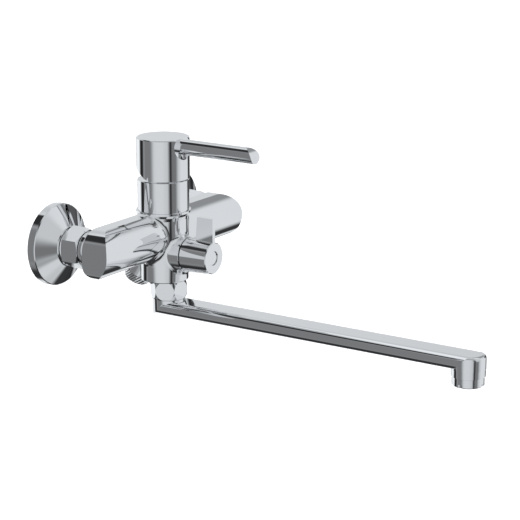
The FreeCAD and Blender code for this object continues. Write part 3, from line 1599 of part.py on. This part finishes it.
def make_aerator():
    """Aerator under the spout's tip."""
    housing = turned(
        "aerator_outline",
        [
            ("aerator_lip", "0"),
            ("aerator_radius - edge", "0"),
            ("aerator_radius", "edge"),
            ("aerator_radius", "aerator_height - edge / 2"),
            ("aerator_radius - edge / 2", "aerator_height"),
            ("aerator_thread", "aerator_height"),
            ("aerator_thread", "aerator_height + aerator_thread_height"),
            ("aerator_bore", "aerator_height + aerator_thread_height"),
            ("aerator_bore", "aerator_lip_height"),
            ("aerator_lip", "aerator_lip_height"),
        ],
        TIP_AXIS + ("-collar_drop - aerator_height",),
    )
    notches = []
    for side, out in (("front", "aerator_radius - notch_depth"), ("back", "-aerator_radius - cut_margin")):
        wide = ("notch_width", "notch_depth + cut_margin", "notch_height + cut_margin")
        deep = ("notch_depth + cut_margin", "notch_width", "notch_height + cut_margin")
        low = "-collar_drop - aerator_height - cut_margin"
        tip = "-spout_axis_out - spout_length"
        notches.append(block("notch_across_" + side, wide, ("-notch_width / 2", tip + " + " + out, low)))
        notches.append(block("notch_along_" + side, deep, (out, tip + " - notch_width / 2", low)))
    keep(remove("aerator_cut", housing, notches), "aerator_housing")

    top = "-collar_drop + aerator_thread_height"
    insert = turned(
        "insert_outline",
        [
            ("0", "0"),
            ("aerator_bore - insert_gap", "0"),
            ("aerator_bore - insert_gap", "insert_height"),
            ("0", "insert_height"),
        ],
        TIP_AXIS + (top + " - insert_height - mesh_height",),
    )
    holes = []
    for ring, count in enumerate((1, 6, 12)):
        for i in range(count):
            turn = 2 * math.pi * i / count
            x = "insert_pitch * (%.5f)" % (ring * math.cos(turn))
            y = "-spout_axis_out - spout_length + insert_pitch * (%.5f)" % (ring * math.sin(turn))
            holes.append(
                rod(
                    "insert_hole_%d_%d" % (ring, i),
                    "insert_hole",
                    "insert_height + 2 * cut_margin",
                    (x, y, top + " - insert_height - mesh_height - cut_margin"),
                )
            )
    keep(remove("insert_cut", insert, holes), "aerator_insert")

    mesh = rod(
        "mesh_rod",
        "aerator_bore - insert_gap",
        "mesh_height",
        TIP_AXIS + (top + " - mesh_height",),
    )
    keep(mesh, "aerator_mesh")

    seal = turned(
        "aerator_seal_outline",
        [
            ("aerator_bore - way_step", "0"),
            ("aerator_thread", "0"),
            ("aerator_thread", "aerator_seal_height"),
            ("aerator_bore - way_step", "aerator_seal_height"),
        ],
        TIP_AXIS + (top,),
    )
    keep(seal, "aerator_seal")


# ---------------------------------------------------------------- shower outlet

def make_shower_outlet():
    """Nipple for the shower hose, its seal and the check valve in it."""
    nipple = turned(
        "nipple_outline",
        [
            ("shower_bore", "0"),
            ("shower_thread - thread_chamfer", "0"),
            ("shower_thread", "thread_chamfer"),
            ("shower_thread", "shower_thread_length - shower_seal_height"),
            ("shower_socket", "shower_thread_length - shower_seal_height"),
            ("shower_socket", "shower_thread_length + shower_socket_length - shower_seal_height"),
            ("shower_bore", "shower_thread_length + shower_socket_length - shower_seal_height"),
        ],
        along_shower("0"),
        TILTED,
    )
    keep(nipple, "shower_nipple")

    seal = turned(
        "nipple_seal_outline",
        [
            ("shower_socket + fixed_gap", "0"),
            ("shower_thread - seal_inset", "0"),
            ("shower_thread - seal_inset", "shower_seal_height"),
            ("shower_socket + fixed_gap", "shower_seal_height"),
        ],
        along_shower("shower_thread_length - shower_seal_height"),
        TILTED,
    )
    keep(seal, "shower_nipple_seal")

    valve = turned(
        "valve_outline",
        [
            ("valve_hole", "0"),
            ("shower_bore - fixed_gap", "0"),
            ("shower_bore - fixed_gap", "valve_length"),
            ("valve_hole", "valve_length"),
        ],
        along_shower("valve_inset"),
        TILTED,
    )
    poppet = rod(
        "valve_poppet",
        "valve_hole",
        "poppet_height",
        along_shower("valve_inset + poppet_inset"),
        TILTED,
    )
    keep(join("valve_solid", [valve, poppet]), "shower_check_valve")


# ---------------------------------------------------------------- build and write

make_body()
make_inlets()
make_cartridge()
make_handle()
make_diverter()
make_spout()
make_aerator()
make_shower_outlet()
doc.recompute()

for thing in doc.Objects:
    if "Invalid" in thing.State or "Error" in thing.State:
        raise RuntimeError("%s failed to build: %s" % (thing.Name, thing.State))
labels = [node.Label for node in nodes]
if len(set(labels)) != len(labels):
    raise RuntimeError("two pieces share a name")

os.makedirs("parts", exist_ok=True)
for node in nodes:
    if node.Shape.isNull() or not node.Shape.isValid():
        raise RuntimeError("%s has no valid shape" % node.Label)
for node in nodes:
    node.Shape.exportStep("parts/%s.step" % node.Label)
    print("%-26s solids %d  volume %9.1f mm3" % (node.Label, len(node.Shape.Solids), node.Shape.Volume))
print("%d pieces written" % len(nodes))
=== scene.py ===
import json
import math

import bpy
import numpy as np
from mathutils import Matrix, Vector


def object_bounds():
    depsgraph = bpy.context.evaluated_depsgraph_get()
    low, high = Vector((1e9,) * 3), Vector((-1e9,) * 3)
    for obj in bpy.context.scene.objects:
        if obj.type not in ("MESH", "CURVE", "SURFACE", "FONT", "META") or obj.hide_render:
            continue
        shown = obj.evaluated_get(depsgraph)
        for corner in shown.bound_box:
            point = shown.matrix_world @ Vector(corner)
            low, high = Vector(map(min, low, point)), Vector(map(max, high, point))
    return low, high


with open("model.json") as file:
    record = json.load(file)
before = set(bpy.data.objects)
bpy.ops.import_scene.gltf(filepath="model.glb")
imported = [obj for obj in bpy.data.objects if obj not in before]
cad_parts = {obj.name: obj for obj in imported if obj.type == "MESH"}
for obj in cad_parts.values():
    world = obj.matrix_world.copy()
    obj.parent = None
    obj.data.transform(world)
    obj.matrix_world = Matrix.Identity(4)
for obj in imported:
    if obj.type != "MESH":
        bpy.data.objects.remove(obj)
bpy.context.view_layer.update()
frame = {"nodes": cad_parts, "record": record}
print("frame loaded:", len(frame["nodes"]), "pieces")


cameraView = {
    "azimuth": -56.52,      # degrees round the object, 0 looks at the front
    "elevation": 14.65,
    "aim": (0.0590, -0.1009, -0.0281),
    "distance": 1.6251,
    "lens": 141.5,
    "sensor": 36.0,         # millimetres across
    "nearest": 0.01,
    "farthest": 60.0,
}


def makeCamera(view):
    # camera = aim + distance * (sin a cos e, -cos a cos e, sin e)
    a = math.radians(view["azimuth"])
    e = math.radians(view["elevation"])
    back = np.array([math.sin(a) * math.cos(e), -math.cos(a) * math.cos(e), math.sin(e)])
    data = bpy.data.cameras.new("mainCamera")
    data.lens = view["lens"]
    data.sensor_width = view["sensor"]
    data.clip_start = view["nearest"]
    data.clip_end = view["farthest"]
    camera = bpy.data.objects.new("mainCamera", data)
    bpy.context.collection.objects.link(camera)
    camera.location = np.array(view["aim"]) + view["distance"] * back
    camera.rotation_euler = (math.pi / 2 - e, 0.0, a)
    bpy.context.scene.camera = camera


makeCamera(cameraView)
print("camera placed")


studio = {
    "floorDrop": 0.14,      # how far the floor lies below the faucet
    "floorSize": 9.0,       # from its middle to its edge
    "floorCells": 40,       # squares along each side
    "floorGrain": 3.0,
    "floorLight": (0.95, 0.95, 0.95, 1.0),
    "floorDark": (0.93, 0.93, 0.93, 1.0),
    "floorRough": 0.9,
    "floorGloss": 0.1,
    "tint": (0.945, 0.975, 1.0, 1.0),
    "backdrop": 1.0,        # brightness behind the faucet
    "base": 0.62,           # brightness of the studio between its panels
    "topBox": {"place": (1.4, 0.8, 2.6), "aim": (1.4, 0.81, 0.0),
               "width": 5.0, "height": 5.0, "power": 150.0},
    "sideBox": {"place": (-1.9, -1.5, 1.4), "aim": (0.0, -0.15, 0.0),
                "width": 1.5, "height": 1.5, "power": 16.0},
}

# panels of the studio that the chrome mirrors, each painted over the ones before it:
# turn and half width in degrees from the camera, height and half height in degrees,
# softness of the edges in degrees, brightness
panels = [
    ("floor shade", 0.0, 400.0, -62.0, 30.0, 6.0, 0.04),
    ("floor left", -84.0, 34.0, -37.0, 9.0, 7.0, 0.34),
    ("floor left card", -110.0, 26.0, -57.0, 7.0, 4.0, 0.03),
    ("floor right", 84.0, 32.0, -44.0, 13.0, 9.0, 0.70),
    ("ceiling", 0.0, 400.0, 84.0, 20.0, 10.0, 0.42),
    ("rear low", -160.0, 42.0, -12.0, 17.0, 6.0, 0.98),
    ("rear high", 180.0, 54.0, 20.0, 15.0, 7.0, 0.72),
    ("upper light", 180.0, 84.0, 60.0, 8.0, 6.0, 0.92),
    ("upper grey", 150.0, 24.0, 38.0, 16.0, 12.0, 0.30),
    ("left grey", -68.0, 23.0, 0.0, 44.0, 12.0, 0.21),
    ("left card", -103.0, 12.0, -10.0, 32.0, 6.0, 0.02),
    ("left upper card", -101.0, 28.0, 50.0, 9.0, 4.0, 0.03),
    ("centre light", -14.0, 22.0, 0.0, 52.0, 14.0, 0.70),
    ("front grey", 53.0, 12.0, -14.0, 13.0, 9.0, 0.19),
    ("centre card", 35.0, 8.0, -6.0, 52.0, 8.0, 0.02),
    ("right box", 106.0, 26.0, 0.0, 36.0, 9.0, 0.78),
    ("right card", 148.0, 11.0, -14.0, 23.0, 4.0, 0.02),
    ("right upper card", 138.0, 14.0, 12.0, 9.0, 6.0, 0.10),
    ("rear foot", -172.0, 28.0, -36.0, 9.0, 5.0, 0.80),
    ("edge line", 180.0, 20.0, -15.0, 11.0, 5.0, 0.05),
]


def mathNode(tree, operation, first, second=None):
    node = tree.nodes.new("ShaderNodeMath")
    node.operation = operation
    for place, value in enumerate((first, second)):
        if value is None:
            continue
        if isinstance(value, (int, float)):
            node.inputs[place].default_value = value
        else:
            tree.links.new(value, node.inputs[place])
    return node.outputs[0]


def softBand(tree, distance, half, soft):
    # 1 inside the band, 0 outside, with a smooth step across its edge
    step = tree.nodes.new("ShaderNodeMapRange")
    step.interpolation_type = "SMOOTHSTEP"
    step.inputs["From Min"].default_value = half + soft
    step.inputs["From Max"].default_value = half - soft
    tree.links.new(distance, step.inputs["Value"])
    return step.outputs["Result"]


def makeWorld(azimuth):
    # turn = direction's compass angle less the camera's, height = asin of its z
    world = bpy.data.worlds.new("studioWorld")
    bpy.context.scene.world = world
    world.use_nodes = True
    tree = world.node_tree
    tree.nodes.clear()
    coords = tree.nodes.new("ShaderNodeTexCoord")
    split = tree.nodes.new("ShaderNodeSeparateXYZ")
    tree.links.new(coords.outputs["Generated"], split.inputs[0])
    toFront = mathNode(tree, "MULTIPLY", split.outputs["Y"], -1.0)
    compass = mathNode(tree, "ARCTAN2", split.outputs["X"], toFront)
    turn = mathNode(tree, "SUBTRACT", mathNode(tree, "DEGREES", compass), azimuth)
    height = mathNode(tree, "DEGREES", mathNode(tree, "ARCSINE", split.outputs["Z"]))
    tone = studio["base"]
    for name, centre, half, level, halfHeight, soft, bright in panels:
        aside = mathNode(tree, "WRAP", mathNode(tree, "SUBTRACT", turn, centre), 180.0)
        aside.node.inputs[2].default_value = -180.0
        across = softBand(tree, mathNode(tree, "ABSOLUTE", aside), half, soft)
        above = mathNode(tree, "ABSOLUTE", mathNode(tree, "SUBTRACT", height, level))
        inside = mathNode(tree, "MULTIPLY", across, softBand(tree, above, halfHeight, soft))
        gap = mathNode(tree, "SUBTRACT", bright, tone)
        tone = mathNode(tree, "ADD", tone, mathNode(tree, "MULTIPLY", gap, inside))
        tone.node.label = name
    reflected = tree.nodes.new("ShaderNodeBackground")
    tree.links.new(tone, reflected.inputs["Strength"])
    reflected.inputs["Color"].default_value = studio["tint"]
    seen = tree.nodes.new("ShaderNodeBackground")
    seen.inputs["Color"].default_value = (1.0, 1.0, 1.0, 1.0)
    seen.inputs["Strength"].default_value = studio["backdrop"]
    path = tree.nodes.new("ShaderNodeLightPath")
    mix = tree.nodes.new("ShaderNodeMixShader")
    tree.links.new(path.outputs["Is Camera Ray"], mix.inputs[0])
    tree.links.new(reflected.outputs[0], mix.inputs[1])
    tree.links.new(seen.outputs[0], mix.inputs[2])
    out = tree.nodes.new("ShaderNodeOutputWorld")
    tree.links.new(mix.outputs[0], out.inputs["Surface"])


makeWorld(cameraView["azimuth"])


def makeFloor():
    # flat sheet: x and y on an even grid, z a set distance below the faucet
    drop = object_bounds()[0][2] - studio["floorDrop"]
    half = studio["floorSize"]
    cells = studio["floorCells"]
    rowLength = cells + 1
    steps = np.linspace(-half, half, rowLength)
    x, y = np.meshgrid(steps, steps)
    points = np.stack([x, y, np.full_like(x, drop)], axis=-1).reshape(-1, 3)
    row, col = np.meshgrid(np.arange(cells), np.arange(cells), indexing="ij")
    start = (row * rowLength + col).ravel()
    faces = np.stack([start, start + 1, start + rowLength + 1, start + rowLength], axis=1)
    mesh = bpy.data.meshes.new("studioFloor")
    mesh.from_pydata(points.tolist(), [], faces.tolist())
    floor = bpy.data.objects.new("studioFloor", mesh)
    bpy.context.collection.objects.link(floor)
    paint = bpy.data.materials.new("floorPaint")
    paint.use_nodes = True
    tree = paint.node_tree
    shader = tree.nodes["Principled BSDF"]
    grain = tree.nodes.new("ShaderNodeTexNoise")
    grain.inputs["Scale"].default_value = studio["floorGrain"]
    tones = tree.nodes.new("ShaderNodeMixRGB")
    tones.inputs[1].default_value = studio["floorDark"]
    tones.inputs[2].default_value = studio["floorLight"]
    where = tree.nodes.new("ShaderNodeTexCoord")
    tree.links.new(where.outputs["Object"], grain.inputs["Vector"])
    tree.links.new(grain.outputs["Fac"], tones.inputs[0])
    tree.links.new(tones.outputs[0], shader.inputs["Base Color"])
    shader.inputs["Roughness"].default_value = studio["floorRough"]
    shader.inputs["Specular IOR Level"].default_value = studio["floorGloss"]
    mesh.materials.append(paint)
    floor.visible_glossy = False


makeFloor()


def makeSoftbox(name, box):
    # a square lamp aimed at the faucet, kept out of the chrome's mirror image
    data = bpy.data.lights.new(name, "AREA")
    data.shape = "RECTANGLE"
    data.size = box["width"]
    data.size_y = box["height"]
    data.energy = box["power"]
    light = bpy.data.objects.new(name, data)
    bpy.context.collection.objects.link(light)
    light.location = box["place"]
    light.visible_glossy = False
    toward = np.array(box["aim"]) - np.array(box["place"])
    flat = math.hypot(toward[0], toward[1])
    light.rotation_euler = (math.atan2(flat, -toward[2]), 0.0, math.atan2(-toward[0], toward[1]))


makeSoftbox("topBox", studio["topBox"])
makeSoftbox("sideBox", studio["sideBox"])
bpy.context.scene.view_settings.view_transform = "Standard"
print("studio lit")


def link(tree, a, b):
    tree.links.new(a, b)


def objectNoise(tree, scale, detail, rough=0.5, stretch=(1.0, 1.0, 1.0)):
    coords = tree.nodes.new("ShaderNodeTexCoord")
    fit = tree.nodes.new("ShaderNodeMapping")
    fit.inputs["Scale"].default_value = stretch
    link(tree, coords.outputs["Object"], fit.inputs["Vector"])
    noise = tree.nodes.new("ShaderNodeTexNoise")
    noise.inputs["Scale"].default_value = scale
    noise.inputs["Detail"].default_value = detail
    noise.inputs["Roughness"].default_value = rough
    link(tree, fit.outputs["Vector"], noise.inputs["Vector"])
    return noise.outputs["Fac"]


waveFactor = 0.31416        # a wave of scale 1 repeats every 0.31416 m


def ridges(tree, pitch, tilt, axis="Z", wander=0.0):
    # even ridges across one axis, pitch in metres, tilt in degrees about X
    coords = tree.nodes.new("ShaderNodeTexCoord")
    turn = tree.nodes.new("ShaderNodeMapping")
    turn.inputs["Rotation"].default_value = (math.radians(tilt), 0.0, 0.0)
    wave = tree.nodes.new("ShaderNodeTexWave")
    wave.bands_direction = axis
    wave.inputs["Scale"].default_value = waveFactor / pitch
    wave.inputs["Distortion"].default_value = wander
    link(tree, coords.outputs["Object"], turn.inputs["Vector"])
    link(tree, turn.outputs["Vector"], wave.inputs["Vector"])
    return wave.outputs["Fac"]


def spread(tree, source, low, high, fromLow=0.3, fromHigh=0.7):
    # stretches a 0..1 pattern to a range
    reach = tree.nodes.new("ShaderNodeMapRange")
    reach.inputs["From Min"].default_value = fromLow
    reach.inputs["From Max"].default_value = fromHigh
    reach.inputs["To Min"].default_value = low
    reach.inputs["To Max"].default_value = high
    link(tree, source, reach.inputs["Value"])
    return reach.outputs["Result"]


def twoTones(tree, source, first, second):
    mix = tree.nodes.new("ShaderNodeMixRGB")
    mix.inputs[1].default_value = first
    mix.inputs[2].default_value = second
    link(tree, source, mix.inputs["Fac"])
    return mix.outputs[0]


def bump(tree, source, strength, distance, under=None):
    node = tree.nodes.new("ShaderNodeBump")
    if under is not None:
        link(tree, under, node.inputs["Normal"])
    node.inputs["Strength"].default_value = strength
    node.inputs["Distance"].default_value = distance
    link(tree, source, node.inputs["Height"])
    return node.outputs["Normal"]


grain = {"broadDetail": 3.0, "fineDetail": 6.0, "fineRough": 0.6}
evenScale = (1.0, 1.0, 1.0)


def finish(name, look):
    # two close colours, a roughness range, fine relief and, where the look has them, tool marks
    paint = bpy.data.materials.new(name)
    paint.use_nodes = True
    tree = paint.node_tree
    shader = tree.nodes["Principled BSDF"]
    shader.inputs["Metallic"].default_value = look["metal"]
    broad = objectNoise(tree, look["broadScale"], grain["broadDetail"])
    fine = objectNoise(tree, look["fineScale"], grain["fineDetail"], grain["fineRough"],
                       look.get("stretch", evenScale))
    link(tree, twoTones(tree, spread(tree, broad, 0.0, 1.0), look["light"], look["dark"]),
         shader.inputs["Base Color"])
    link(tree, spread(tree, fine, look["smooth"], look["rough"]), shader.inputs["Roughness"])
    relief = bump(tree, fine, look["relief"], look["reliefDepth"])
    for mark in look.get("marks", ()):
        pattern = ridges(tree, mark["pitch"], mark["tilt"], mark["axis"], mark["wander"])
        relief = bump(tree, pattern, mark["strength"], mark["depth"], relief)
    link(tree, relief, shader.inputs["Normal"])
    return paint


chromeLook = {"metal": 1.0, "light": (0.90, 0.905, 0.915, 1), "dark": (0.88, 0.885, 0.90, 1),
              "broadScale": 14.0, "fineScale": 420.0, "smooth": 0.025, "rough": 0.055,
              "relief": 0.02, "reliefDepth": 0.0001, "stretch": (1.0, 1.0, 0.35)}
brassLook = {"metal": 1.0, "light": (0.83, 0.63, 0.32, 1), "dark": (0.70, 0.50, 0.22, 1),
             "broadScale": 60.0, "fineScale": 900.0, "smooth": 0.18, "rough": 0.34,
             "relief": 0.15, "reliefDepth": 0.0001,
             "marks": [{"pitch": 0.00022, "tilt": 0.0, "axis": "Z", "wander": 0.6,
                        "strength": 0.12, "depth": 0.00003}]}
steelLook = {"metal": 1.0, "light": (0.62, 0.62, 0.63, 1), "dark": (0.52, 0.52, 0.54, 1),
             "broadScale": 80.0, "fineScale": 1200.0, "smooth": 0.2, "rough": 0.36,
             "relief": 0.12, "reliefDepth": 0.0001}
rubberLook = {"metal": 0.0, "light": (0.035, 0.035, 0.037, 1), "dark": (0.02, 0.02, 0.021, 1),
              "broadScale": 90.0, "fineScale": 1500.0, "smooth": 0.55, "rough": 0.75,
              "relief": 0.25, "reliefDepth": 0.0001}
plasticLook = {"metal": 0.0, "light": (0.84, 0.84, 0.82, 1), "dark": (0.76, 0.76, 0.73, 1),
               "broadScale": 50.0, "fineScale": 900.0, "smooth": 0.32, "rough": 0.48,
               "relief": 0.1, "reliefDepth": 0.0001}
ceramicLook = {"metal": 0.0, "light": (0.93, 0.92, 0.88, 1), "dark": (0.88, 0.86, 0.81, 1),
               "broadScale": 70.0, "fineScale": 2000.0, "smooth": 0.08, "rough": 0.16,
               "relief": 0.05, "reliefDepth": 0.00005}

# marks of the pieces that carry a screen or a thread; the nipple leans 30 degrees
threadPitch = 0.001814
meshLook = dict(steelLook, marks=[
    {"pitch": 0.0009, "tilt": 0.0, "axis": "X", "wander": 0.0, "strength": 0.9, "depth": 0.0003},
    {"pitch": 0.0009, "tilt": 0.0, "axis": "Y", "wander": 0.0, "strength": 0.9, "depth": 0.0003}])
nippleLook = dict(chromeLook, marks=[
    {"pitch": threadPitch, "tilt": 30.0, "axis": "Z", "wander": 0.0,
     "strength": 0.8, "depth": 0.0006}])
unionLook = dict(chromeLook, marks=[
    {"pitch": threadPitch, "tilt": 0.0, "axis": "Y", "wander": 0.0,
     "strength": 0.8, "depth": 0.0006}])

finishes = {
    "chrome": finish("polishedChrome", chromeLook),
    "brass": finish("turnedBrass", brassLook),
    "steel": finish("plainSteel", steelLook),
    "rubber": finish("blackRubber", rubberLook),
    "plastic": finish("mouldedPlastic", plasticLook),
    "ceramic": finish("lappedCeramic", ceramicLook),
}


ownFinishes = {
    "aerator_mesh": finish("wovenScreen", meshLook),
    "shower_nipple": finish("threadedNipple", nippleLook),
    "eccentric_union_left": finish("leftUnionThread", unionLook),
    "eccentric_union_right": finish("rightUnionThread", unionLook),
}


def dressNodes():
    # each piece wears its own finish, or else the one of its material
    for part in frame["record"]["subparts"]:
        piece = frame["nodes"][part["node"]]
        paint = ownFinishes.get(part["node"], finishes[part["material_slot"]])
        slots = piece.material_slots
        if not slots:
            piece.data.materials.append(paint)
        for slot in slots:
            slot.material = paint


dressNodes()
print("finishes assigned")
